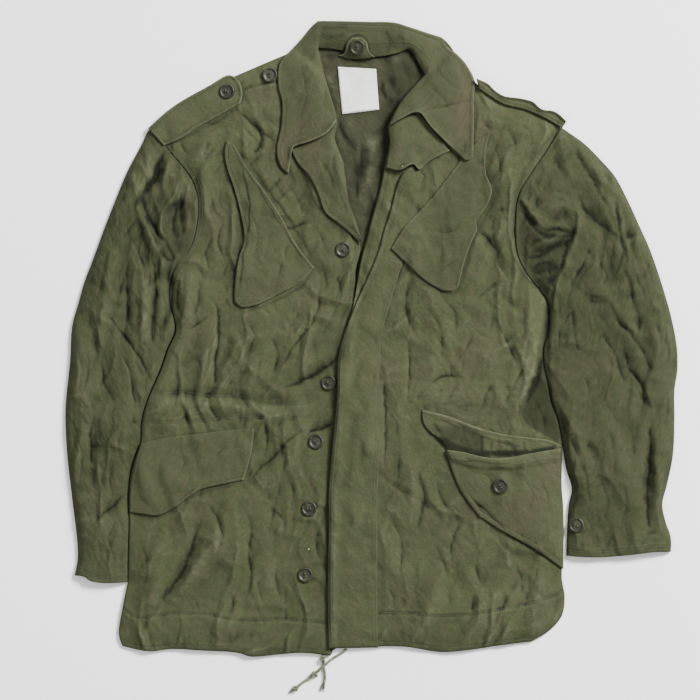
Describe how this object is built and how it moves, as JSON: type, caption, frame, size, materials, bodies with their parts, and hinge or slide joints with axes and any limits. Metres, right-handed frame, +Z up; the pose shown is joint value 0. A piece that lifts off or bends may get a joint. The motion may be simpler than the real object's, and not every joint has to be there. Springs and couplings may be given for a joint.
{
  "type": "field jacket",
  "caption": "Worn olive cotton field jacket laid flat, with turned-down collar, shoulder straps, flapped pockets, buttoned front and a hem drawstring.",
  "frame": {"origin": "middle of the garment's outline, on the surface it lies on, without its drawstring", "axes": "+Y towards the collar, +X towards the wearer's left sleeve, +Z up from the surface"},
  "size_m": [0.8138, 0.8926, 0.0239],
  "materials": {
    "olive_cotton": "heavy cotton, matt, faded and worn along its seams and folds",
    "olive_inside": "inner face of the same cotton, matt, a little browner",
    "label_tape": "bare white woven tape",
    "button_dark": "dark olive moulded plastic, glossy but scuffed",
    "drawstring": "grey-green braided cotton, frayed at its ends"
  },
  "bodies": {
    "root": {"back": "olive_inside", "under_collar": "olive_cotton", "front_right": "olive_cotton", "front_left": "olive_cotton", "fly": "olive_cotton", "sleeve_right": "olive_cotton", "sleeve_left": "olive_cotton", "lapel_right": "olive_cotton", "lapel_left": "olive_cotton", "collar": "olive_cotton", "neck_tab": "olive_cotton", "label": "label_tape", "strap_right": "olive_cotton", "strap_left": "olive_cotton", "chest_flap_right": "olive_cotton", "chest_flap_left": "olive_cotton", "lower_flap_right": "olive_cotton", "lower_flap_left": "olive_cotton", "lower_pocket_left": "olive_cotton", "front_button_1": "button_dark", "front_button_2": "button_dark", "front_button_3": "button_dark", "front_button_4": "button_dark", "front_button_5": "button_dark", "strap_button_right": "button_dark", "collar_button_right": "button_dark", "neck_tab_button": "button_dark", "pocket_button_left": "button_dark", "cuff_button_left": "button_dark", "cord_a": "drawstring", "cord_b": "drawstring", "cord_b_end": "drawstring", "knot_a": "drawstring", "knot_b": "drawstring", "knot_b_end": "drawstring"}
  },
  "joints": []
}
